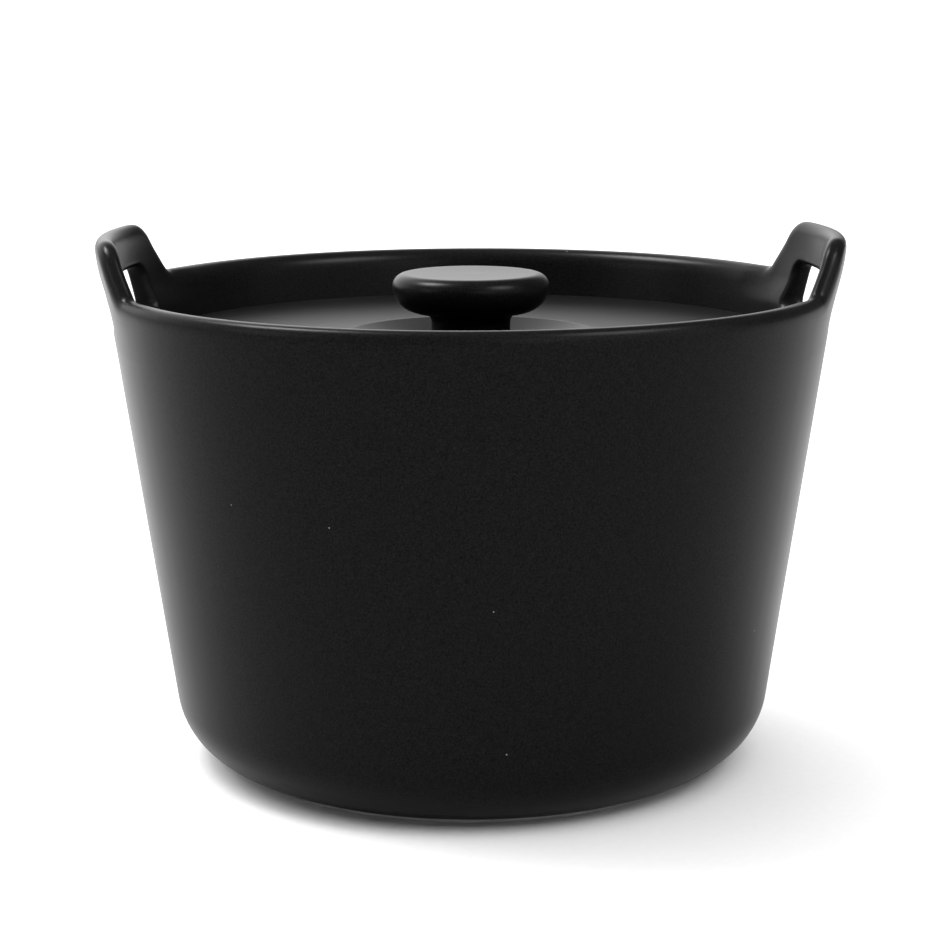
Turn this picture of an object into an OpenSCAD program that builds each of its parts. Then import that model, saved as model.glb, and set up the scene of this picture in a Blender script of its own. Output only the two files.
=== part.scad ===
// Lidded sugar bowl: a tapered bucket with two pierced ear handles,
// and a recessed lid with a mushroom knob. Units are millimetres, +Z is up.
// The origin is the centre of the base, on the surface the bowl stands on.
// The handles lie along X.

/* [Bowl] */
// Diameter of the highest line of the rim
rim_crest_d = 100; // [92:1:110]
// Height of the rim above the table
rim_h = 68.3; // [62:0.1:76]
// Distance from the highest line of the rim to the outside of the wall
lip_overhang = 1.6; // [1.4:0.1:1.8]
// Thickness of the wall at the rim
wall_t = 3.6; // [3.2:0.1:4]
// Lean of the wall from upright, in degrees
wall_lean = 8.1; // [7:0.1:9]
// Radius of the rounded corner at the bottom, outside
corner_r = 10.7; // [9.5:0.1:12]
// Angle through which the corner turns before it meets the foot, in degrees
corner_end = 72; // [66:1:76]
// Thickness of the floor inside the foot
floor_t = 3.6; // [3:0.1:4.4]

/* [Foot] */
// Height of the unglazed foot ring
foot_h = 0.6; // [0.5:0.1:1]
// Width of the foot ring
foot_w = 3.4; // [3:0.1:4.5]
// Depth of the hollow under the base, above the top of the foot ring
base_recess = 1; // [0.6:0.1:1.4]

/* [Ledge for the lid] */
// Depth of the top of the lid below the rim
lid_drop = 7; // [6:0.1:7.5]
// Width of the ledge that carries the lid
ledge_w = 3; // [2.6:0.1:3.4]
// Thickness of the ledge at its free edge
ledge_t = 1.6; // [1.3:0.1:2]

/* [Handles] */
// Height of the handles above the rim
ear_rise = 7.5; // [7:0.1:8.5]
// Half width of a handle at the top corners, before they are rounded
ear_top_half = 15.2; // [14.8:0.1:16]
// Slope of the handle's sides from upright, in degrees
ear_side_lean = 29; // [24:1:32]
// Radius of the top corners of a handle
ear_corner_r = 5; // [4:0.1:6]
// Radius of the hollow corner between a handle and the rim
ear_root_r = 1.6; // [1.2:0.1:2.4]
// How far the top of a handle stands out beyond the rim
ear_flare = 1.4; // [1.1:0.1:1.7]
// Thickness of a handle at its top
ear_top_t = 2.8; // [2.6:0.1:3.2]
// Half width of the window in a handle
window_half = 11.3; // [10.5:0.1:12]
// Height of the top of the window above the rim
window_above = 1.5; // [0.8:0.1:2]
// Depth of the bottom of the window below the rim
window_below = 5; // [4.5:0.1:5.4]
// Radius of the window's corners
window_r = 1.5; // [1:0.1:2]

/* [Lid] */
// Thickness of the lid where it rests on the ledge
lid_t = 2.6; // [2.4:0.1:3]
// Gap between the edge of the lid and the wall, at the ledge
lid_gap = 0.5; // [0.4:0.1:0.7]
// Radius of the dished well around the knob
well_r = 17.9; // [16.5:0.1:19]
// Depth of the well
well_depth = 3.2; // [2.8:0.1:3.6]
// Depth of the ring under the lid that keeps it centred
spigot_h = 2.4; // [2:0.1:2.8]
// Width of that ring
spigot_w = 2.4; // [2.2:0.1:2.8]
// Gap between that ring and the ledge
spigot_gap = 0.6; // [0.5:0.1:0.8]

/* [Knob] */
// Diameter of the knob
knob_d = 22.5; // [21:0.1:24]
// Height of the top of the knob above the rim
knob_above = 1.5; // [1:0.1:2.5]
// Thickness of the head of the knob
knob_head_t = 5.6; // [5:0.1:6.2]
// Radius of the upper edge of the knob
knob_edge_r = 1.9; // [1.5:0.1:2.2]
// Depth of the shallow dish in the top of the knob
knob_dish = 0.2; // [0.1:0.1:0.4]
// Diameter of the stem
stem_d = 11.3; // [10:0.1:12]
// Radius of the hollow corner between the head and the stem
stem_neck_r = 1.5; // [1:0.1:1.6]

/* [Hidden] */
$fn = 96;
glaze_colour = [0.13, 0.13, 0.14];
bare_clay_colour = [0.55, 0.53, 0.5];
arc_steps = 10;
cut_margin = 5;
crest_r = rim_crest_d / 2;
rim_outer_r = crest_r + lip_overhang;
lean = tan(wall_lean);
// The wall's outer radius at a height, on its straight part.
function wall_r(z) = rim_outer_r - lean * (rim_h - z);
function inner_r(z) = wall_r(z) - wall_t;
// Points along an arc in the profile plane, from angle a0 to a1.
function arc(cx, cz, r, a0, a1) =
    [for (i = [0 : arc_steps]) let (a = a0 + (a1 - a0) * i / arc_steps) [cx + r * cos(a), cz + r * sin(a)]];

// Bottom corner, outside: it starts tangent to the wall and ends at the foot.
corner_top_z = foot_h + corner_r * (sin(corner_end) - sin(wall_lean));
corner_cx = wall_r(corner_top_z) - corner_r * cos(wall_lean);
corner_cz = corner_top_z + corner_r * sin(wall_lean);
foot_line_r = corner_cx + corner_r * cos(corner_end);
foot_setback = 0.3;
foot_edge = 0.2;
foot_outer_r = foot_line_r - foot_setback;
foot_inner_r = foot_outer_r - foot_w;
base_z = foot_h + base_recess;
floor_z = base_z + floor_t;

// Bottom corner, inside: a little tighter than the outside.
corner_tightening = 2.2;
inner_corner_r = corner_r - corner_tightening;
inner_corner_cz = floor_z + inner_corner_r;
inner_corner_cx = inner_r(inner_corner_cz) - inner_corner_r;

// Lid seat. The lid's top stands lid_drop below the rim.
lid_top_z = rim_h - lid_drop;
seat_z = lid_top_z - lid_t;
ledge_r = inner_r(seat_z) - ledge_w;
ledge_root_z = seat_z - ledge_t - ledge_w;
lid_r = inner_r(seat_z) - lid_gap;
lid_edge_r = 0.7;

// The lip: two quarter arcs, with a narrow flat at the crest and a small step in from the wall.
lip_flat = 0.2;
lip_step = 0.1;
lip_out_r = lip_overhang - lip_flat / 2 - lip_step;
lip_in_r = wall_t - lip_overhang - lip_flat / 2 - lip_step;

// Ear handles: the sides lean in, with a hollow corner at the rim.
seam_z = rim_h - window_below;
ear_top_z = rim_h + ear_rise;
ear_side_half = ear_top_half + ear_rise * tan(ear_side_lean);
ear_root_half = ear_side_half + ear_root_r * (1 - sin(ear_side_lean)) / cos(ear_side_lean);
ear_corner_cy = ear_top_half - ear_corner_r * (1 - sin(ear_side_lean)) / cos(ear_side_lean);
// Above this share of its height the band of a handle stands upright.
ear_upright_share = 0.74;
ear_upright_z = rim_h + ear_upright_share * ear_rise;
// The band thins out from the wall's thickness over this share of the way to upright.
ear_thinning_share = 0.35;
ear_edge_r = 1.2;
ear_outer_top_r = rim_outer_r + ear_flare;
ear_inner_top_r = ear_outer_top_r - ear_top_t;

// Well and knob. The well is dished on both sides, and its underside is a little wider.
well_foot_w = 2;
well_under_w = 2;
well_under_lip = 1;
well_floor_r = stem_d / 2 + well_foot_w;
well_floor_z = lid_top_z - well_depth;
well_floor_t = 2.8;
spigot_taper = 0.4;
spigot_outer_r = ledge_r - spigot_gap;
spigot_inner_r = spigot_outer_r - spigot_w;
knob_top_z = rim_h + knob_above;
knob_low_z = knob_top_z - knob_head_t;
knob_wide_z = knob_top_z - knob_edge_r;
knob_under_h = knob_wide_z - knob_low_z;
knob_under_r = knob_d / 2 - stem_d / 2 - stem_neck_r;

module revolve(points) {
    rotate_extrude($fn = 180) polygon(points);
}

// Upper half of the wall's section, shared by the bowl and the handle roots.
function lip_points() = concat(
    arc(rim_outer_r - lip_step - lip_out_r, rim_h - lip_out_r, lip_out_r, 0, 90),
    arc(rim_outer_r - wall_t + lip_step + lip_in_r, rim_h - lip_in_r, lip_in_r, 90, 180));

module bowl_solid() {
    revolve(concat(
        [[0, base_z], [foot_inner_r, base_z], [foot_inner_r, foot_h]],
        arc(corner_cx, corner_cz, corner_r, -corner_end, -wall_lean),
        lip_points(),
        [[inner_r(seat_z), seat_z], [ledge_r, seat_z], [ledge_r, seat_z - ledge_t],
         [inner_r(ledge_root_z), ledge_root_z]],
        arc(inner_corner_cx, inner_corner_cz, inner_corner_r, -wall_lean, -90),
        [[0, floor_z]]));
}

// The two stretches of wall that the handles replace, side 1 or -1.
module handle_room(side) {
    translate([side > 0 ? 0 : -rim_crest_d, -ear_root_half, seam_z])
        cube([rim_crest_d, 2 * ear_root_half, ear_rise + window_below + cut_margin]);
}

module bowl() {
    color(glaze_colour)
    difference() {
        bowl_solid();
        handle_room(1);
        handle_room(-1);
    }
}

module foot_ring() {
    color(bare_clay_colour)
    revolve([[foot_inner_r, foot_edge], [foot_inner_r + foot_edge, 0], [foot_outer_r - foot_edge, 0],
             [foot_outer_r, foot_edge], [foot_outer_r, foot_h], [foot_inner_r, foot_h]]);
}

// The ear's outline seen along X, right half, from the bottom of its side to the top.
function ear_half() = concat(
    [[ear_root_half, seam_z]],
    arc(ear_root_half, rim_h + ear_root_r, ear_root_r, 270, 180 + ear_side_lean),
    arc(ear_corner_cy, ear_top_z - ear_corner_r, ear_corner_r, ear_side_lean, 90));
// The other half, mirrored, from the top down.
function flipped(points) = [for (i = [len(points) - 1 : -1 : 0]) [-points[i][0], points[i][1]]];

module ear_outline() {
    polygon(concat(ear_half(), flipped(ear_half())));
}

// The window, open downwards: the bowl's own wall closes it there.
function window_half_points() = concat(
    [[window_half, seam_z - cut_margin]],
    arc(window_half - window_r, rim_h + window_above - window_r, window_r, 0, 90));

module window_outline() {
    polygon(concat(window_half_points(), flipped(window_half_points())));
}

function smooth_step(t) = t * t * (3 - 2 * t);
// The outer face of a handle: from the wall, with its lean, to upright. t goes from 0 to 1.
function flare_r(t) =
    wall_r(seam_z) * (1 - smooth_step(t)) + ear_outer_top_r * smooth_step(t)
    + lean * (ear_upright_z - seam_z) * t * (1 - t) * (1 - t);
function band_t(t) =
    wall_t - (wall_t - ear_top_t) * smooth_step(min(t / ear_thinning_share, 1));
function flare_z(t) = seam_z + (ear_upright_z - seam_z) * t;
flare_steps = 20;

// The handle's band in section: the wall carried on upwards and outwards.
module ear_band() {
    revolve(concat(
        [for (i = [0 : flare_steps]) let (t = i / flare_steps) [flare_r(t), flare_z(t)]],
        arc(ear_outer_top_r - ear_edge_r, ear_top_z - ear_edge_r, ear_edge_r, 0, 90),
        arc(ear_inner_top_r + ear_edge_r, ear_top_z - ear_edge_r, ear_edge_r, 90, 180),
        [for (i = [flare_steps : -1 : 0]) let (t = i / flare_steps)
            [flare_r(t) - band_t(t), flare_z(t)]]));
}

// The stretch of lip at each side of the ear.
module lip_band() {
    revolve(concat(
        [[inner_r(seam_z), seam_z], [wall_r(seam_z), seam_z]],
        lip_points()));
}

module extruded_outline() {
    rotate([90, 0, 90]) linear_extrude(height = rim_crest_d) children();
}

module handle(side) {
    mirror([side > 0 ? 0 : 1, 0, 0])
    difference() {
        union() {
            intersection() {
                ear_band();
                extruded_outline() ear_outline();
            }
            intersection() {
                lip_band();
                handle_room(1);
            }
        }
        extruded_outline() window_outline();
    }
}

module handle_right() {
    color(glaze_colour) handle(1);
}

module handle_left() {
    color(glaze_colour) handle(-1);
}

module lid() {
    color(glaze_colour)
    revolve(concat(
        [[0, well_floor_z - well_floor_t],
         [well_floor_r + well_under_w, well_floor_z - well_floor_t],
         [well_r + well_under_lip, seat_z], [spigot_inner_r, seat_z],
         [spigot_inner_r + spigot_taper, seat_z - spigot_h],
         [spigot_outer_r - spigot_taper, seat_z - spigot_h],
         [spigot_outer_r, seat_z], [lid_r, seat_z]],
        arc(lid_r - lid_edge_r, lid_top_z - lid_edge_r, lid_edge_r, 0, 90),
        [[well_r, lid_top_z], [well_floor_r, well_floor_z], [0, well_floor_z]]));
}

// The underside of the head is a quarter of an ellipse.
module knob() {
    color(glaze_colour)
    revolve(concat(
        [[0, well_floor_z], [stem_d / 2, well_floor_z]],
        [for (i = [0 : arc_steps]) let (a = 90 * i / arc_steps)
            [stem_d / 2 + stem_neck_r * (1 - cos(a)), knob_low_z - stem_neck_r * (1 - sin(a))]],
        [for (i = [1 : arc_steps]) let (a = 90 * i / arc_steps)
            [knob_d / 2 - knob_under_r * (1 - sin(a)), knob_wide_z - knob_under_h * cos(a)]],
        arc(knob_d / 2 - knob_edge_r, knob_wide_z, knob_edge_r, 0, 90),
        [[0, knob_top_z - knob_dish]]));
}

bowl();
foot_ring();
handle_left();
handle_right();
lid();
knob();
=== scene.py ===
"""A black glazed sugar bowl with two pierced ear handles and a recessed, knobbed lid.

Shapes are worked out in millimetres from the boxes of the CAD nodes, and written in metres.
The handles lie along X, the lid lifts along Z.
"""

import math

import bmesh
import bpy
from mathutils import Matrix, Vector


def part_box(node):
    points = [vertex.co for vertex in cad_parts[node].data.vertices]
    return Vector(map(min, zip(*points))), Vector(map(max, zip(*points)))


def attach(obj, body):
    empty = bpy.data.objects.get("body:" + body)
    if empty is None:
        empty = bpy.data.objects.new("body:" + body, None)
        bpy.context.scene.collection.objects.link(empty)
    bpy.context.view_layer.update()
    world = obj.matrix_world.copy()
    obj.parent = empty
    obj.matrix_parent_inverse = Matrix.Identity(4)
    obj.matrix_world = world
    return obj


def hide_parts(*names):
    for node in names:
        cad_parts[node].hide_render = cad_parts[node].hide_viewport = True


MM = 0.001

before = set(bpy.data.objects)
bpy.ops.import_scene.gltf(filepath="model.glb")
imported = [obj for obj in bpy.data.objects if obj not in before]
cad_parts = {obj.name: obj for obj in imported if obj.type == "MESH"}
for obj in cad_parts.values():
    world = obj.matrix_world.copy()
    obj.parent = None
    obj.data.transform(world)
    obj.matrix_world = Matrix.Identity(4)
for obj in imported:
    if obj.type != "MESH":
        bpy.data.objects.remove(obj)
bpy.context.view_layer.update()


def corners_mm(node):
    """The lowest and highest corner of a CAD node, in millimetres."""
    low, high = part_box(node)
    return low / MM, high / MM


# ---------------------------------------------------------------- sizes

_, bowl_high = corners_mm("bowl")
foot_low, foot_high = corners_mm("foot_ring")
ear_low, ear_high = corners_mm("handle_right")
lid_low, lid_high = corners_mm("lid")
knob_low, knob_high = corners_mm("knob")

# The lip's rounding takes this much off the wall's radius at the rim.
LIP_PULL = 0.115

RIM_Z = bowl_high.z
RIM_R = bowl_high.y + LIP_PULL
FOOT_Z = foot_high.z
FOOT_R = foot_high.x
EAR_Z = ear_high.z
EAR_R = ear_high.x
EAR_ROOT_HALF = ear_high.y
SEAM_Z = ear_low.z
LID_R = lid_high.x
LID_Z = lid_high.z
KNOB_R = knob_high.x
KNOB_Z = knob_high.z
WELL_Z = knob_low.z

# Wall and lip. LIP_OUT is how far the crest of the rim stands in from the outer face.
WALL_T = 3.6
WALL_LEAN = math.radians(8.1)
LIP_OUT = 1.6
LIP_H = 2.4

# Bottom corner, floor and foot. The foot stands on the flat of the underside, which starts
# UNDERSIDE_FLAT in from the end of the corner, and BASE is the recess inside the foot.
CORNER_R = 10.7
CORNER_END = math.radians(72)
INNER_CORNER_R = 8.5
FLOOR_CORNER_R = 7.5
FLOOR_Z = 5.2
BASE_Z = 1.6
BASE_SLOPE = 0.3
BASE_EDGE_R = 0.15
BASE_CORNER_R = 0.5
UNDERSIDE_FLAT = 0.25
FOOT_W = 3.4
FOOT_SUNK = 0.15
FOOT_TOP_R = 0.1
FOOT_INNER_R = 0.25
FOOT_OUTER_R = 0.3

# The lid's thickness, the ledge that carries the lid, and how far the ledge's edges are rounded.
LID_T = 2.6
LEDGE_W = 3.0
LEDGE_T = 1.6
LEDGE_EDGE_R = 0.6
LEDGE_INNER_R = 0.5
LEDGE_ROOT_R = 1.5

# Ear handles. EAR_UPRIGHT is the share of a handle's height above the rim at which its flare ends,
# and EAR_THINNING the share of the flare over which its band gets thinner.
EAR_SIDE_LEAN = math.radians(29)
EAR_CORNER_R = 5.0
EAR_ROOT_R = 1.6
EAR_T = 2.8
EAR_EDGE = 2.0
EAR_EDGE_RISE = 3.0
EAR_UPRIGHT = 0.95
EAR_THINNING = 0.35
EAR_BLEND = 4.5
EAR_CUT_MARGIN = 1.0
WINDOW_HALF = 11.3
WINDOW_TOP = RIM_Z + 1.5
WINDOW_BOTTOM = SEAM_Z
WINDOW_CORNER_R = 1.5
WINDOW_EDGE = 0.9

# Lid, with the well around its stem and the centring ring (the spigot) under it. The well's floor
# starts WELL_FLOOR_W out from the stem, and the bulge under the well is WELL_SHELL wider than the
# well. The spigot's radii are for its inner and its outer edge.
LID_EDGE_R = 0.7
LID_LOWER_EDGE_R = 0.5
WELL_R = 17.9
WELL_EDGE_R = 1.1
WELL_FLOOR_R = 3.0
WELL_FLOOR_W = 2.0
WELL_SHELL = 1.0
WELL_UNDER_R = 1.5
SPIGOT_GAP = 0.6
SPIGOT_W = 2.4
SPIGOT_H = 2.4
SPIGOT_TAPER = 0.4
SPIGOT_ROOT_RADII = (0.8, 0.4)
SPIGOT_TIP_RADII = (0.6, 0.7)

# Knob.
STEM_R = 5.65
STEM_ROOT_R = 1.2
HEAD_T = 5.6
HEAD_EDGE_R = 1.9
NECK_R = 1.5
KNOB_DISH = 0.18

# How finely the bowl is divided. A patch is the stretch of wall around one handle.
PATCH_HALF = 26.0
PATCH_BASE_Z = RIM_Z - 8
PATCH_FADE = 6.0
PATCH_COLUMNS = 36
SIDE_COLUMNS = 68
SIDE_ROWS = 7
EDGE_ROWS = 20
RING_ROWS = 6
WALL_ROWS = 26
CORNER_ROWS = 16
EAR_TOP_STEPS = 9
EAR_CORNER_STEPS = 9
EAR_SIDE_STEPS = 5
EAR_ROOT_STEPS = 7
EAR_RIM_STEPS = 4
WINDOW_CORNER_STEPS = 8
LID_COLUMNS = 144
KNOB_STEPS = 12
DISH_STEPS = 8
ARC_STEP = math.radians(12)

# 1 gives a free edge a round section, and a smaller number a squarer one.
EDGE_ROUNDNESS = 0.87

# Flat middles are closed with a square grid: how far out its corners reach, how many of its steps
# go with each ring around it, and the radii at which it takes over. Under the base that is
# BASE_CAP_IN inside the foot.
CAP_SQUARE = 0.55
CAP_STEPS_PER_RING = 10
FLOOR_CAP_R = 24.0
BASE_CAP_IN = 6.0
LID_CAP_R = 5.0
KNOB_CAP_R = 2.5

# Points closer than this become one.
WELD = 0.002

# The wall's slope, and how far the crest of the rim stands out from the inner face.
LEAN = math.tan(WALL_LEAN)
LIP_IN = WALL_T - LIP_OUT


# ---------------------------------------------------------------- curves

def smooth(low, high, value):
    """0 below low, 1 above high, and a soft step between them."""
    t = min(max((value - low) / (high - low), 0.0), 1.0)
    return t * t * (3 - 2 * t)


def mix(a, b, t):
    """a at t = 0, b at t = 1, and in proportion between."""
    return a + (b - a) * t


def arc(cx, cy, r, start, end, steps):
    """Points on an arc, from angle start to angle end, both included."""
    angles = [mix(start, end, i / steps) for i in range(steps + 1)]
    return [(cx + r * math.cos(a), cy + r * math.sin(a)) for a in angles]


def line(a, b, steps):
    """Points on a line, from a to b, both included."""
    return [(mix(a[0], b[0], i / steps), mix(a[1], b[1], i / steps)) for i in range(steps + 1)]


def joined(*stretches):
    """One path out of several that meet end to end."""
    path = list(stretches[0])
    for stretch in stretches[1:]:
        path += stretch[1:]
    return path


def rounded(corners, spacing=2.0, guard=0.25):
    """A path through (r, z, radius) corners, each rounded by its radius.
    Every straight stretch gets a guard point near both ends, which keeps its shading flat."""
    pieces = []
    for i, (x, y, r) in enumerate(corners):
        here = Vector((x, y))
        if i in (0, len(corners) - 1) or r == 0:
            pieces.append([here])
            continue
        back = (Vector(corners[i - 1][:2]) - here).normalized()
        ahead = (Vector(corners[i + 1][:2]) - here).normalized()
        half = back.angle(ahead) / 2
        centre = here + (back + ahead).normalized() * (r / math.sin(half))
        first = here + back * (r / math.tan(half)) - centre
        last = here + ahead * (r / math.tan(half)) - centre
        turn = first.angle_signed(last)
        steps = max(3, round(abs(turn) / ARC_STEP))
        start = math.atan2(first.y, first.x)
        pieces.append([Vector(p) for p in arc(centre.x, centre.y, r, start, start - turn, steps)])
    path = list(pieces[0])
    for piece in pieces[1:]:
        run = piece[0] - path[-1]
        length = run.length
        steps = max(1, round(length / spacing))
        cuts = [j / steps for j in range(1, steps)]
        if length > 3 * guard:
            cuts = [guard / length] + cuts + [1 - guard / length]
        origin = path[-1]
        path += [origin + run * c for c in sorted(set(cuts))]
        path += piece
    return [(p.x, p.y) for p in path]


# ---------------------------------------------------------------- meshes

class Shell:
    """Collects grids of points in millimetres, and welds them into one closed mesh."""

    def __init__(self):
        self.points = []
        self.faces = []
        self.thin = []

    def grid(self, rows, thin=None, closed=False):
        """Quads between rows of points. thin says, row by row, how thin the glaze is there, and a
        closed grid also joins the end of each row to its start."""
        first = len(self.points)
        width = len(rows[0])
        for i, row in enumerate(rows):
            self.points += row
            self.thin += [thin[i] if thin else 0.0] * width
        for i in range(len(rows) - 1):
            for j in range(width if closed else width - 1):
                a = first + i * width + j
                b = first + i * width + (j + 1) % width
                self.faces.append((a, b, b + width, a + width))

    def cap(self, ring):
        """Closes a flat ring with a square grid in its middle, so that no fan of slivers is left."""
        n = len(ring) // 4
        start = -n // 2
        ring = [ring[(start + i) % len(ring)] for i in range(len(ring))]
        centre = sum((Vector(p) for p in ring), Vector()) / len(ring)
        corner = [centre.lerp(Vector(ring[i * n]), CAP_SQUARE) for i in range(4)]
        square = []
        for i in range(n + 1):
            left = corner[0].lerp(corner[3], i / n)
            right = corner[1].lerp(corner[2], i / n)
            square.append([left.lerp(right, j / n) for j in range(n + 1)])
        self.grid([[tuple(p) for p in row] for row in square])
        border = [square[0][j] for j in range(n)]
        border += [square[i][n] for i in range(n)]
        border += [square[n][n - j] for j in range(n)]
        border += [square[n - i][0] for i in range(n)]
        steps = max(1, n // CAP_STEPS_PER_RING)
        rows = []
        for s in range(steps + 1):
            rows.append([tuple(Vector(p).lerp(q, s / steps)) for p, q in zip(ring, border)])
        self.grid(rows, closed=True)

    def build(self, name, body, slot, material, *nodes):
        """Makes the object, rides it on its body and puts it in place of its CAD nodes."""
        mesh = bpy.data.meshes.new(name)
        mesh.from_pydata([Vector(p) * MM for p in self.points], [], self.faces)
        layer = mesh.attributes.new("glaze_thin", "FLOAT", "POINT")
        layer.data.foreach_set("value", self.thin)
        work = bmesh.new()
        work.from_mesh(mesh)
        bmesh.ops.remove_doubles(work, verts=work.verts, dist=WELD * MM)
        bmesh.ops.dissolve_degenerate(work, edges=work.edges, dist=WELD / 2 * MM)
        bmesh.ops.recalc_face_normals(work, faces=work.faces)
        open_edges = [e for e in work.edges if not e.is_manifold]
        if open_edges:
            raise ValueError(f"{name} has {len(open_edges)} open edges")
        work.to_mesh(mesh)
        work.free()
        mesh.shade_smooth()
        mesh.materials.append(material)
        piece = bpy.data.objects.new(name, mesh)
        bpy.context.scene.collection.objects.link(piece)
        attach(piece, body)
        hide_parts(*nodes)
        return piece


def revolve(path, columns):
    """Rows of points, one ring for each point of the path."""
    turns = [2 * math.pi * k / columns for k in range(columns)]
    return [[(r * math.cos(a), r * math.sin(a), z) for a in turns] for r, z in path]


# ---------------------------------------------------------------- bowl

def wall_r(z):
    """Radius of the wall's outer face at height z."""
    return RIM_R - LEAN * (RIM_Z - z)


def flared(z):
    """Outer radius and thickness of a handle's band: from the wall's lean at the seam to upright."""
    rise = RIM_Z + EAR_UPRIGHT * (EAR_Z - RIM_Z) - SEAM_Z
    t = min(max((z - SEAM_Z) / rise, 0.0), 1.0)
    outer = mix(wall_r(SEAM_Z), EAR_R, smooth(0, 1, t)) + LEAN * rise * t * (1 - t) ** 2
    return outer, mix(WALL_T, EAR_T, smooth(0, EAR_THINNING, t))


def wall_faces(y, z):
    """Outer and inner radius of the wall at height z, at the distance y from the handles' axis."""
    outer = wall_r(z)
    inner = outer - WALL_T
    if z <= SEAM_Z:
        return outer, inner
    ear = 1 - smooth(EAR_ROOT_HALF - EAR_BLEND, EAR_ROOT_HALF + EAR_BLEND, abs(y))
    ear_outer, thickness = flared(z)
    return mix(outer, ear_outer, ear), mix(inner, ear_outer - thickness, ear)


def turned(y, r):
    """The angle at which a point of radius r stands when it is y away from the handles' axis.
    A handle is cut straight along X; past its roots the cut turns to face the bowl's axis."""
    along_x = math.asin(y / r)
    to_axis = math.asin(y / RIM_R)
    return mix(along_x, to_axis, smooth(EAR_ROOT_HALF + EAR_CUT_MARGIN, PATCH_HALF, abs(y)))


def handle_point(y, z, across, side):
    """A point of the wall near a handle. across is 1 on the outer face and -1 on the inner face,
    side is 0 at the right handle and pi at the left one."""
    outer, inner = wall_faces(y, z)
    ear = smooth(RIM_Z, RIM_Z + EAR_EDGE_RISE, z)
    crest = outer - mix(LIP_OUT / WALL_T, 0.5, ear) * (outer - inner)
    r = crest + across * (outer - crest if across > 0 else crest - inner)
    a = turned(y, r) + side
    return (r * math.cos(a), r * math.sin(a), z)


def with_normals(path):
    """Each point of an open path in the (y, z) plane, with the unit normal on its right."""
    found = []
    for i, here in enumerate(path):
        before = Vector(path[max(i - 1, 0)])
        after = Vector(path[min(i + 1, len(path) - 1)])
        run = (after - before).normalized()
        found.append((Vector(here), Vector((run.y, -run.x))))
    return found


def loop_with_normals(loop):
    """Each point of a closed loop in the (y, z) plane, with the unit normal on its left."""
    found = []
    for before, here, after in zip(loop[-1:] + loop, loop, loop[1:] + loop[:1]):
        run = (Vector(after) - Vector(before)).normalized()
        found.append((Vector(here), Vector((-run.y, run.x))))
    return found


def mirrored(path):
    """The path from the middle outwards, led on from its mirror image."""
    return [(-y, z) for y, z in reversed(path)][:-1] + path


def looped(half):
    """A closed loop out of its right half, which runs from the middle of the top to the middle of
    the bottom."""
    return half + [(-y, z) for y, z in reversed(half[1:-1])]


def ear_outline():
    """The free edge from one side of a handle's patch to the other, over the ear."""
    top_half = EAR_ROOT_HALF
    top_half -= EAR_ROOT_R * (1 - math.sin(EAR_SIDE_LEAN)) / math.cos(EAR_SIDE_LEAN)
    top_half -= (EAR_Z - RIM_Z) * math.tan(EAR_SIDE_LEAN)
    corner_y = top_half - EAR_CORNER_R * (1 - math.sin(EAR_SIDE_LEAN)) / math.cos(EAR_SIDE_LEAN)
    corner = arc(corner_y, EAR_Z - EAR_CORNER_R, EAR_CORNER_R,
                 math.pi / 2, EAR_SIDE_LEAN, EAR_CORNER_STEPS)
    root = arc(EAR_ROOT_HALF, RIM_Z + EAR_ROOT_R, EAR_ROOT_R,
               math.pi + EAR_SIDE_LEAN, 1.5 * math.pi, EAR_ROOT_STEPS)
    return mirrored(joined(
        line((0, EAR_Z), corner[0], EAR_TOP_STEPS),
        corner,
        line(corner[-1], root[0], EAR_SIDE_STEPS),
        root,
        line(root[-1], (PATCH_HALF, RIM_Z), EAR_RIM_STEPS)))


def edge_depth(z):
    """How far in from the free edge its rounding reaches."""
    return mix(LIP_H, EAR_EDGE, smooth(RIM_Z, RIM_Z + EAR_EDGE_RISE, z))


def window_depth(z):
    """The same for the window's edge, at any height."""
    return WINDOW_EDGE


def rounding(j):
    """Step j of an edge's section: how far across the sheet it is, from 1 at the outer face to -1
    at the inner face, and how far down from the crest, as a share of the edge's depth."""
    a = math.pi * j / EDGE_ROWS
    across = math.copysign(abs(math.cos(a)) ** EDGE_ROUNDNESS, math.cos(a))
    return across, 1 - max(math.sin(a), 0.0) ** EDGE_ROUNDNESS


def edge_rows(edge, depth, side):
    """Rows of points that round an edge over, from the outer face to the inner face. The edge's
    normals point into the sheet."""
    rows = []
    for j in range(EDGE_ROWS + 1):
        across, fall = rounding(j)
        row = []
        for here, inward in edge:
            spot = here + inward * depth(here.y) * fall
            row.append(handle_point(spot.x, spot.y, across, side))
        rows.append(row)
    return rows


def edge_thinning():
    """How thin the glaze is, row by row over an edge: it has run off most at the crest."""
    return [math.sin(math.pi * j / EDGE_ROWS) ** 2 for j in range(EDGE_ROWS + 1)]


def resampled(path, count):
    """count + 1 points at equal steps along a path."""
    lengths = [0.0]
    for a, b in zip(path, path[1:]):
        lengths.append(lengths[-1] + math.dist(a, b))
    found = []
    i = 0
    for k in range(count + 1):
        want = lengths[-1] * k / count
        while i < len(path) - 2 and lengths[i + 1] < want:
            i += 1
        t = (want - lengths[i]) / (lengths[i + 1] - lengths[i])
        found.append((mix(path[i][0], path[i + 1][0], t), mix(path[i][1], path[i + 1][1], t)))
    return found


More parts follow.
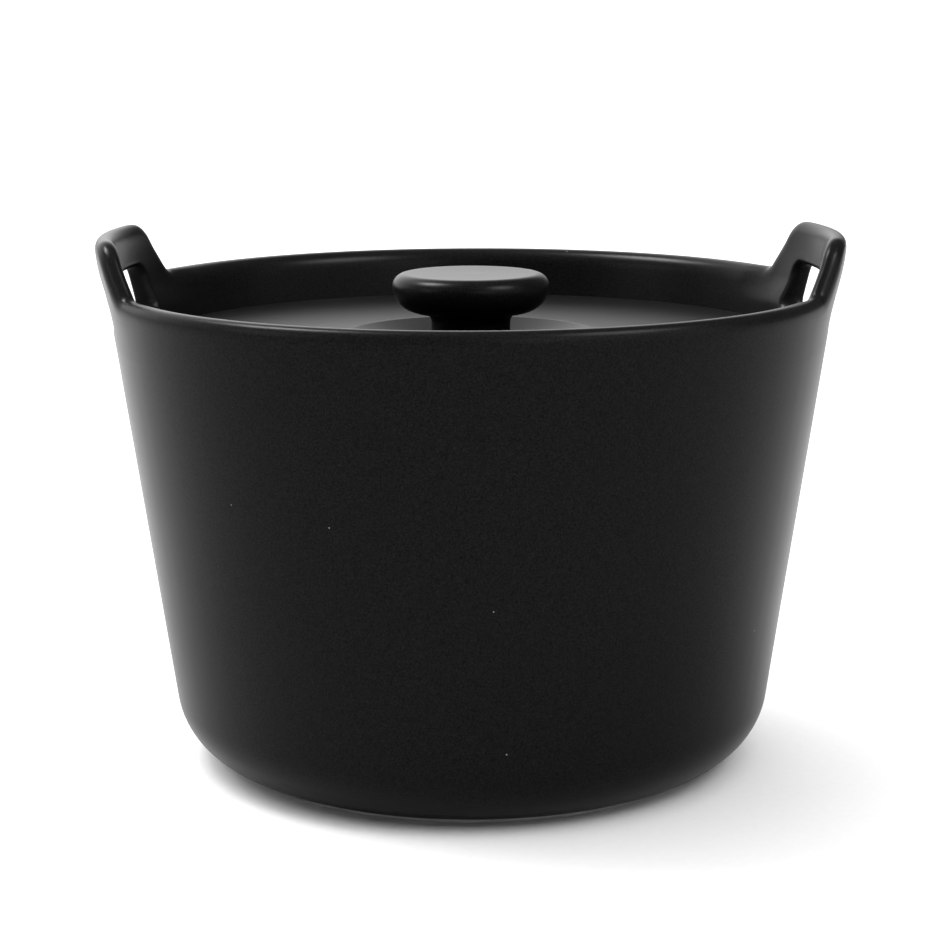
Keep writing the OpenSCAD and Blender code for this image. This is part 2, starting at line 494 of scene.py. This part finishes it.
def window_loop(counts):
    """The window's edge as a closed loop from the middle of its top, right side first.
    counts has the steps from there to the top corner, to the bottom corner, and to the middle of
    the bottom."""
    r = WINDOW_CORNER_R
    y = WINDOW_HALF - r
    key = WINDOW_CORNER_STEPS // 2
    top = arc(y, WINDOW_TOP - r, r, math.pi / 2, 0, WINDOW_CORNER_STEPS)
    bottom = arc(y, WINDOW_BOTTOM + r, r, 0, -math.pi / 2, WINDOW_CORNER_STEPS)
    to_top_key = joined(line((0, WINDOW_TOP), top[0], 1), top[:key + 1])
    to_bottom_key = joined(top[key:], line(top[-1], bottom[0], 1), bottom[:key + 1])
    to_middle = joined(bottom[key:], line(bottom[-1], (0, WINDOW_BOTTOM), 1))
    half = joined(resampled(to_top_key, counts[0]),
                  resampled(to_bottom_key, counts[1]),
                  resampled(to_middle, counts[2]))
    return looped(half)


def sheet_border(free_edge):
    """The border of the sheet around the window, as a closed loop just inside the free edge, down
    the sides and along the base. With it come the steps of its right half: to the ear's corner,
    to the corner of the base, and to the middle of the base."""
    middle = len(free_edge) // 2
    over = [tuple(here + inward * edge_depth(here.y)) for here, inward in free_edge[middle:]]
    down = line(over[-1], (PATCH_HALF, PATCH_BASE_Z), SIDE_ROWS)
    base_angles = [math.asin(PATCH_HALF / RIM_R) * (1 - 2 * k / PATCH_COLUMNS)
                   for k in range(PATCH_COLUMNS // 2 + 1)]
    base = [(RIM_R * math.sin(a), PATCH_BASE_Z) for a in base_angles]
    half = joined(over, down, base)
    top_key = EAR_TOP_STEPS + EAR_CORNER_STEPS // 2
    bottom_key = len(over) - 1 + SIDE_ROWS
    return looped(half), (top_key, bottom_key - top_key, len(half) - 1 - bottom_key)


def face_rows(window_edge, border, across, side):
    """Rows of points over one face of the sheet, from the window's edge out to the border."""
    rows = []
    for i in range(RING_ROWS + 1):
        row = []
        for (here, inward), there in zip(window_edge, border):
            spot = (here + inward * WINDOW_EDGE).lerp(Vector(there), i / RING_ROWS)
            row.append(handle_point(spot.x, spot.y, across, side))
        rows.append(row)
    return rows


def add_handle(shell, side):
    """One handle and the stretch of wall around it: free edge, window edge and both faces."""
    free_edge = with_normals(ear_outline())
    border, counts = sheet_border(free_edge)
    window_edge = loop_with_normals(window_loop(counts))
    shell.grid(edge_rows(free_edge, edge_depth, side), edge_thinning())
    shell.grid(edge_rows(window_edge, window_depth, side), edge_thinning(), closed=True)
    for across in (1, -1):
        shell.grid(face_rows(window_edge, border, across, side), closed=True)


def column_angles():
    """Half the angle that a handle's patch takes up, and the angles of the bowl's columns over half
    a turn, from that handle's patch on. Each comes with whether it lies in the patch."""
    half = math.asin(PATCH_HALF / RIM_R)
    patch = [(half * (2 * k / PATCH_COLUMNS - 1), True) for k in range(PATCH_COLUMNS)]
    span = math.pi - 2 * half
    rest = [(half + span * k / SIDE_COLUMNS, False) for k in range(SIDE_COLUMNS)]
    return half, patch + rest


def lower_rows(path):
    """Rings of points for the plain part of the bowl. The first rings follow the handles' cut,
    which dies away over the length PATCH_FADE along the path."""
    _, half_turn = column_angles()
    rows = []
    travelled = 0.0
    for i, (r, z) in enumerate(path):
        if i:
            travelled += math.dist(path[i - 1], path[i])
        pull = 1 - smooth(0, PATCH_FADE, travelled)
        row = []
        for side in (0, math.pi):
            for angle, in_patch in half_turn:
                a = angle
                if in_patch and pull > 0:
                    a = mix(angle, turned(RIM_R * math.sin(angle), r), pull)
                row.append((r * math.cos(a + side), r * math.sin(a + side), z))
        rows.append(row)
    return rows


def add_lip(shell, side):
    """The lip and upper wall between the handles, on one side of the bowl."""
    half, _ = column_angles()
    span = math.pi - 2 * half
    angles = [half + side + span * k / SIDE_COLUMNS for k in range(SIDE_COLUMNS + 1)]
    path = []
    for j in range(EDGE_ROWS + 1):
        across, fall = rounding(j)
        z = RIM_Z - LIP_H * fall
        crest = wall_r(z) - LIP_OUT
        path.append((crest + across * (LIP_OUT if across > 0 else LIP_IN), z))
    down = [mix(RIM_Z - LIP_H, PATCH_BASE_Z, k / SIDE_ROWS) for k in range(SIDE_ROWS + 1)]
    outer_wall = [(wall_r(z), z) for z in reversed(down)]
    inner_wall = [(wall_r(z) - WALL_T, z) for z in down]
    path = outer_wall[:-1] + path + inner_wall[1:]
    thin = [0.0] * SIDE_ROWS + edge_thinning() + [0.0] * SIDE_ROWS
    shell.grid([[(r * math.cos(a), r * math.sin(a), z) for a in angles] for r, z in path], thin)


def outer_path():
    """Down the outside of the wall, round the corner and under the base."""
    turn_z = FOOT_Z + CORNER_R * (math.sin(CORNER_END) - math.sin(WALL_LEAN))
    cx = wall_r(turn_z) - CORNER_R * math.cos(WALL_LEAN)
    cz = turn_z + CORNER_R * math.sin(WALL_LEAN)
    corner = arc(cx, cz, CORNER_R, -WALL_LEAN, -CORNER_END, CORNER_ROWS)
    wall = line((wall_r(PATCH_BASE_Z), PATCH_BASE_Z), corner[0], WALL_ROWS)
    foot_inner = FOOT_R - FOOT_W
    under = rounded([(*corner[-1], 0),
                     (corner[-1][0] - UNDERSIDE_FLAT, FOOT_Z, 0),
                     (foot_inner, FOOT_Z, BASE_EDGE_R),
                     (foot_inner - BASE_SLOPE, BASE_Z, BASE_CORNER_R),
                     (foot_inner - BASE_CAP_IN, BASE_Z, 0)])
    return joined(wall, corner, under)


def inner_path():
    """Down the inside of the wall, over the ledge and across the floor."""
    seat_z = LID_Z - LID_T
    ledge_r = wall_r(seat_z) - WALL_T - LEDGE_W
    root_z = seat_z - LEDGE_T - LEDGE_W
    low_z = FLOOR_Z + INNER_CORNER_R
    return rounded([(wall_r(PATCH_BASE_Z) - WALL_T, PATCH_BASE_Z, 0),
                    (wall_r(seat_z) - WALL_T, seat_z, LEDGE_INNER_R),
                    (ledge_r, seat_z, LEDGE_EDGE_R),
                    (ledge_r, seat_z - LEDGE_T, LEDGE_EDGE_R),
                    (wall_r(root_z) - WALL_T, root_z, LEDGE_ROOT_R),
                    (wall_r(low_z) - WALL_T, low_z, 0),
                    (wall_r(FLOOR_Z) - WALL_T, FLOOR_Z, FLOOR_CORNER_R),
                    (FLOOR_CAP_R, FLOOR_Z, 0)])


def build_bowl(material):
    """The bowl with both handles, as one glazed skin."""
    shell = Shell()
    for side in (0, math.pi):
        add_handle(shell, side)
        add_lip(shell, side)
    for path in (outer_path(), inner_path()):
        rows = lower_rows(path)
        shell.grid(rows, closed=True)
        shell.cap(rows[-1])
    return shell.build("bowl_body", "bowl", "glaze", material, "bowl", "handle_left", "handle_right")


# ---------------------------------------------------------------- foot, lid and knob

def build_foot(material):
    """The ring that the bowl stands on. Its top is sunk a little into the glazed base."""
    inner = FOOT_R - FOOT_W
    middle = (inner + FOOT_R) / 2
    top = FOOT_Z + FOOT_SUNK
    path = rounded([(middle, top, 0),
                    (inner, top, FOOT_TOP_R),
                    (inner, foot_low.z, FOOT_INNER_R),
                    (FOOT_R, foot_low.z, FOOT_OUTER_R),
                    (FOOT_R, top, FOOT_TOP_R),
                    (middle, top, 0)], spacing=0.8, guard=0.1)
    shell = Shell()
    shell.grid(revolve(path, LID_COLUMNS), closed=True)
    return shell.build("foot", "bowl", "bare_clay", material, "foot_ring")


def head_path():
    """The knob from its neck, round the head, to the flat on its top."""
    low_z = KNOB_Z - HEAD_T
    wide_z = KNOB_Z - HEAD_EDGE_R
    under_r = KNOB_R - STEM_R - NECK_R
    neck = []
    under = []
    for i in range(KNOB_STEPS + 1):
        a = math.pi / 2 * i / KNOB_STEPS
        neck.append((STEM_R + NECK_R * (1 - math.cos(a)), low_z - NECK_R * (1 - math.sin(a))))
        under.append((KNOB_R - under_r * (1 - math.sin(a)), wide_z - (wide_z - low_z) * math.cos(a)))
    edge = arc(KNOB_R - HEAD_EDGE_R, wide_z, HEAD_EDGE_R, 0, math.pi / 2, KNOB_STEPS)
    return joined(neck, under, edge)


def dished_top(edge_r):
    """The top of the knob, from its edge inwards: a very shallow dish."""
    path = []
    for i in range(DISH_STEPS + 1):
        r = mix(edge_r, KNOB_CAP_R, i / DISH_STEPS)
        path.append((r, KNOB_Z - KNOB_DISH * (1 - (r / edge_r) ** 2)))
    return path


def build_lid(material):
    """The lid with its centring ring, well, stem and knob, as one glazed skin."""
    seat_z = LID_Z - LID_T
    ledge_r = wall_r(seat_z) - WALL_T - LEDGE_W
    spigot_out = ledge_r - SPIGOT_GAP
    spigot_in = spigot_out - SPIGOT_W
    spigot_z = seat_z - SPIGOT_H
    root_in_r, root_out_r = SPIGOT_ROOT_RADII
    tip_in_r, tip_out_r = SPIGOT_TIP_RADII
    well_floor = STEM_R + WELL_FLOOR_W
    below = rounded([(LID_CAP_R, lid_low.z, 0),
                     (well_floor + WELL_FLOOR_W, lid_low.z, WELL_UNDER_R),
                     (WELL_R + WELL_SHELL, seat_z, WELL_UNDER_R),
                     (spigot_in, seat_z, root_in_r),
                     (spigot_in + SPIGOT_TAPER, spigot_z, tip_in_r),
                     (spigot_out - SPIGOT_TAPER, spigot_z, tip_out_r),
                     (spigot_out, seat_z, root_out_r),
                     (LID_R, seat_z, LID_LOWER_EDGE_R),
                     (LID_R, LID_Z, LID_EDGE_R),
                     (WELL_R, LID_Z, WELL_EDGE_R),
                     (well_floor, WELL_Z, WELL_FLOOR_R),
                     (STEM_R, WELL_Z, STEM_ROOT_R),
                     (STEM_R, KNOB_Z - HEAD_T - NECK_R, 0)])
    head = head_path()
    shell = Shell()
    rows = revolve(joined(below, head, dished_top(head[-1][0])), LID_COLUMNS)
    shell.grid(rows, closed=True)
    shell.cap(rows[0])
    shell.cap(rows[-1])
    return shell.build("lid_and_knob", "lid", "glaze", material, "lid", "knob")


# ---------------------------------------------------------------- materials

# Greys of the glaze: low and high parts of its tooth, its thin edges, its specks.
GLAZE_LOW = 0.0025
GLAZE_HIGH = 0.0105
GLAZE_EDGE = 0.01
GLAZE_SPECK = 0.22

# How far the thin glaze of an edge goes over to its own grey, and how weak the gloss is.
EDGE_SHARE = 0.35
GLAZE_IOR = 1.13
GLAZE_TINT = 0.4

# Roughness of the glaze in its glossier and duller patches, and how much the tooth changes it.
ROUGH_LOW = 0.29
ROUGH_HIGH = 0.33
ROUGH_GRAIN = 0.03

# Greys of the clay's darker and paler patches.
CLAY_LOW = 0.34
CLAY_HIGH = 0.47


def grey(value):
    """A grey as a colour."""
    return (value, value, value, 1)


def node(tree, kind, settings=(), **inputs):
    """A new node with its properties set, and its inputs set or linked."""
    made = tree.nodes.new(kind)
    for key, value in dict(settings).items():
        setattr(made, key, value)
    for key, value in inputs.items():
        socket = made.inputs[key.replace("_", " ")]
        if isinstance(value, bpy.types.NodeSocket):
            tree.links.new(value, socket)
        else:
            socket.default_value = value
    return made


def ramp(tree, factor, *stops):
    """A colour ramp through stops, each a position and a grey."""
    made = tree.nodes.new("ShaderNodeValToRGB")
    tree.links.new(factor, made.inputs["Fac"])
    elements = made.color_ramp.elements
    while len(elements) < len(stops):
        elements.new(0.5)
    for element, (position, value) in zip(elements, stops):
        element.position = position
        element.color = grey(value)
    return made.outputs["Color"]


def mapped(tree, value, low, high):
    """A 0 to 1 value spread over a new range."""
    made = node(tree, "ShaderNodeMapRange", Value=value, To_Min=low, To_Max=high)
    return made.outputs["Result"]


def glaze_material():
    """Satin black glaze: near-black, a soft sheen, fine tooth, a few pale specks."""
    made = bpy.data.materials.new("satin_black_glaze")
    made.use_nodes = True
    tree = made.node_tree
    shader = tree.nodes["Principled BSDF"]
    place = node(tree, "ShaderNodeTexCoord").outputs["Object"]

    cloud = node(tree, "ShaderNodeTexNoise", Vector=place, Scale=55.0, Detail=3.0)
    tooth = node(tree, "ShaderNodeTexNoise", Vector=place, Scale=4500.0, Detail=2.0)
    ripple = node(tree, "ShaderNodeTexNoise", Vector=place, Scale=240.0, Detail=2.0)
    cells = node(tree, "ShaderNodeTexVoronoi", Vector=place, Scale=170.0, Randomness=1.0)

    # Specks: a small dot in two cells out of three. Few of the dots lie at the surface.
    dot = ramp(tree, cells.outputs["Distance"], (0.012, 1.0), (0.021, 0.0))
    draw = node(tree, "ShaderNodeSeparateColor", Color=cells.outputs["Color"])
    chosen = ramp(tree, draw.outputs["Red"], (0.3, 0.0), (0.32, 1.0))
    speck = node(tree, "ShaderNodeMath", {"operation": "MULTIPLY"})
    tree.links.new(dot, speck.inputs[0])
    tree.links.new(chosen, speck.inputs[1])

    # The glaze is thinner, and a little paler, where it has run off an edge.
    thin = node(tree, "ShaderNodeAttribute", {"attribute_name": "glaze_thin"}).outputs["Fac"]
    body = ramp(tree, tooth.outputs["Fac"], (0.3, GLAZE_LOW), (0.7, GLAZE_HIGH))
    edged = node(tree, "ShaderNodeMix", {"data_type": "RGBA"})
    tree.links.new(mapped(tree, thin, 0.0, EDGE_SHARE), edged.inputs["Factor"])
    tree.links.new(body, edged.inputs["A"])
    edged.inputs["B"].default_value = grey(GLAZE_EDGE)
    specked = node(tree, "ShaderNodeMix", {"data_type": "RGBA"})
    tree.links.new(speck.outputs["Value"], specked.inputs["Factor"])
    tree.links.new(edged.outputs["Result"], specked.inputs["A"])
    specked.inputs["B"].default_value = grey(GLAZE_SPECK)
    tree.links.new(specked.outputs["Result"], shader.inputs["Base Color"])

    # A weak, satin gloss, which changes a little from place to place.
    shader.inputs["IOR"].default_value = GLAZE_IOR
    shader.inputs["Specular Tint"].default_value = grey(GLAZE_TINT)
    grain = mapped(tree, tooth.outputs["Fac"], -ROUGH_GRAIN, ROUGH_GRAIN)
    patches = mapped(tree, cloud.outputs["Fac"], ROUGH_LOW, ROUGH_HIGH)
    rough = node(tree, "ShaderNodeMath", {"operation": "ADD"})
    tree.links.new(grain, rough.inputs[0])
    tree.links.new(patches, rough.inputs[1])
    tree.links.new(rough.outputs["Value"], shader.inputs["Roughness"])

    # The surface: slow ripples of the melt, and a fine tooth on top.
    waves = node(tree, "ShaderNodeBump", Strength=0.1, Distance=0.01 * MM,
                 Height=ripple.outputs["Fac"])
    teeth = node(tree, "ShaderNodeBump", Strength=0.2, Distance=0.002 * MM,
                 Height=tooth.outputs["Fac"], Normal=waves.outputs["Normal"])
    tree.links.new(teeth.outputs["Normal"], shader.inputs["Normal"])
    return made


def clay_material():
    """Bare fired clay: pale, matt and gritty."""
    made = bpy.data.materials.new("bare_clay")
    made.use_nodes = True
    tree = made.node_tree
    shader = tree.nodes["Principled BSDF"]
    place = node(tree, "ShaderNodeTexCoord").outputs["Object"]
    grit = node(tree, "ShaderNodeTexNoise", Vector=place, Scale=1800.0, Detail=3.0)
    stain = node(tree, "ShaderNodeTexNoise", Vector=place, Scale=160.0, Detail=2.0)
    colour = ramp(tree, stain.outputs["Fac"], (0.3, CLAY_LOW), (0.7, CLAY_HIGH))
    tree.links.new(colour, shader.inputs["Base Color"])
    tree.links.new(mapped(tree, grit.outputs["Fac"], 0.75, 0.95), shader.inputs["Roughness"])
    bump = node(tree, "ShaderNodeBump", Strength=0.5, Distance=0.05 * MM, Height=grit.outputs["Fac"])
    tree.links.new(bump.outputs["Normal"], shader.inputs["Normal"])
    return made


glaze = glaze_material()
clay = clay_material()
build_bowl(glaze)
build_foot(clay)
build_lid(glaze)


# ---------------------------------------------------------------- studio

# Half the floor's side, in metres.
FLOOR_HALF = 3.0

# The room's brightness in its dim part, on its bright wall, and as the camera itself sees it.
ROOM_DIM = 0.11
ROOM_BRIGHT = 3.1
ROOM_SEEN = 1.05

# Directions from the bowl: to the room's bright wall, and to the far lights.
BRIGHT_WALL = (-0.6, 0.8, 0)
OVERHEAD = (0, 0, 1)
LEFT_ABOVE = (-0.51, 0.18, 0.84)
RIGHT_ABOVE = (0.58, -0.39, 0.72)
LEFT_WINDOW = (-0.88, -0.35, 0.33)
RIGHT_WINDOW = (0.36, -0.88, 0.31)
RIGHT_WALL = (0.86, -0.48, 0.14)

# The camera, fitted to the photo's angle: lengths in millimetres, angles in degrees.
CAMERA_DISTANCE = 325
CAMERA_ABOVE_RIM = 37.8
CAMERA_YAW = 0.7
CAMERA_DIP = 11.32
CAMERA_ROLL = -0.18
CAMERA_ASIDE = -0.2
CAMERA_LENS = 87.25
CAMERA_SENSOR = 36


def add_floor():
    """A sheet of plain pale paper, much larger than the picture."""
    mesh = bpy.data.meshes.new("floor")
    half = FLOOR_HALF
    mesh.from_pydata([(-half, -half, 0), (half, -half, 0), (half, half, 0), (-half, half, 0)],
                     [], [(0, 1, 2, 3)])
    floor = bpy.data.objects.new("floor", mesh)
    bpy.context.scene.collection.objects.link(floor)
    paper = bpy.data.materials.new("floor_paper")
    paper.use_nodes = True
    tree = paper.node_tree
    shader = tree.nodes["Principled BSDF"]
    place = node(tree, "ShaderNodeTexCoord").outputs["Object"]
    fibre = node(tree, "ShaderNodeTexNoise", Vector=place, Scale=900.0, Detail=2.0)
    shade = ramp(tree, fibre.outputs["Fac"], (0.3, 0.88), (0.7, 0.9))
    tree.links.new(shade, shader.inputs["Base Color"])
    tree.links.new(mapped(tree, fibre.outputs["Fac"], 0.85, 0.95), shader.inputs["Roughness"])
    mesh.materials.append(paper)


def add_world():
    """A dim room with one bright wall, behind the bowl and to its left. The camera sees plain white
    in its place."""
    world = bpy.data.worlds.new("white_wall")
    world.use_nodes = True
    bpy.context.scene.world = world
    tree = world.node_tree
    room = tree.nodes["Background"]
    toward = node(tree, "ShaderNodeTexCoord").outputs["Generated"]
    wall = node(tree, "ShaderNodeVectorMath", {"operation": "DOT_PRODUCT"})
    tree.links.new(toward, wall.inputs[0])
    wall.inputs[1].default_value = Vector(BRIGHT_WALL)
    across = node(tree, "ShaderNodeMapRange", {"interpolation_type": "SMOOTHSTEP"},
                  Value=wall.outputs["Value"], From_Min=0.4, From_Max=0.9)
    # The wall is dim at the horizon, brightest a third of the way up, and dim again overhead.
    parts = node(tree, "ShaderNodeSeparateXYZ", Vector=toward)
    up = ramp(tree, parts.outputs["Z"],
              (0.0, 0.2), (0.1, 0.82), (0.45, 1.0), (0.6, 0.9), (0.9, 0.3))
    lit = node(tree, "ShaderNodeMath", {"operation": "MULTIPLY"})
    tree.links.new(across.outputs["Result"], lit.inputs[0])
    tree.links.new(up, lit.inputs[1])
    light = mapped(tree, lit.outputs["Value"], ROOM_DIM, ROOM_BRIGHT)
    seen = node(tree, "ShaderNodeLightPath").outputs["Is Camera Ray"]
    pick = node(tree, "ShaderNodeMix", {"data_type": "FLOAT"}, Factor=seen, A=light, B=ROOM_SEEN)
    tree.links.new(pick.outputs["Result"], room.inputs["Strength"])
    room.inputs["Color"].default_value = (1, 1, 1, 1)


def add_sun(name, toward, spread, strength, glossy):
    """A far light, spread degrees across, that reaches the whole floor evenly. A glossy one only
    makes highlights, and any other only gives diffuse light."""
    data = bpy.data.lights.new(name, "SUN")
    data.angle = math.radians(spread)
    data.energy = strength
    lamp = bpy.data.objects.new(name, data)
    lamp.rotation_euler = Vector(toward).to_track_quat("Z", "Y").to_euler()
    lamp.visible_glossy = glossy
    lamp.visible_diffuse = not glossy
    bpy.context.scene.collection.objects.link(lamp)


def add_lamp(name, place, size, energy):
    """A near, round, soft lamp on the left, out of the picture. It lights the floor unevenly, and
    most on the left."""
    data = bpy.data.lights.new(name, "AREA")
    data.shape = "DISK"
    data.size = size
    data.energy = energy
    lamp = bpy.data.objects.new(name, data)
    lamp.location = place
    lamp.rotation_euler = Vector(place).to_track_quat("Z", "Y").to_euler()
    lamp.visible_glossy = False
    bpy.context.scene.collection.objects.link(lamp)


def add_camera():
    """A long lens a little above the rim, looking down on the front of the bowl."""
    distance = CAMERA_DISTANCE * MM
    height = (RIM_Z + CAMERA_ABOVE_RIM) * MM
    yaw = math.radians(CAMERA_YAW)
    data = bpy.data.cameras.new("camera")
    data.sensor_width = CAMERA_SENSOR
    data.lens = CAMERA_LENS
    camera = bpy.data.objects.new("camera", data)
    place = Vector((-distance * math.sin(yaw), -distance * math.cos(yaw), height))
    dip = distance * math.tan(math.radians(CAMERA_DIP))
    aim = Vector((CAMERA_ASIDE * MM, 0, height - dip))
    look = (aim - place).to_track_quat("-Z", "Y").to_matrix().to_4x4()
    roll = Matrix.Rotation(math.radians(CAMERA_ROLL), 4, "Z")
    camera.matrix_world = Matrix.Translation(place) @ look @ roll
    bpy.context.scene.collection.objects.link(camera)
    bpy.context.scene.camera = camera


add_floor()
add_world()
add_sun("ceiling", OVERHEAD, spread=100, strength=2.85, glossy=False)
add_sun("key", LEFT_ABOVE, spread=60, strength=0.8, glossy=False)
add_sun("fill", RIGHT_ABOVE, spread=40, strength=1.0, glossy=False)
add_sun("left_highlight", LEFT_ABOVE, spread=20, strength=9.0, glossy=True)
add_sun("right_highlight", RIGHT_ABOVE, spread=24, strength=6.5, glossy=True)
add_sun("left_window", LEFT_WINDOW, spread=26, strength=1.1, glossy=True)
add_sun("right_window", RIGHT_WINDOW, spread=28, strength=1.3, glossy=True)
add_sun("right_wall", RIGHT_WALL, spread=50, strength=1.7, glossy=True)
add_lamp("floor_light", (-0.35, 0.35, 0.15), size=0.2, energy=0.7)
add_lamp("overhead", (-0.18, 0.06, 0.42), size=0.25, energy=0.9)
add_camera()
bpy.context.scene.view_settings.view_transform = "Standard"
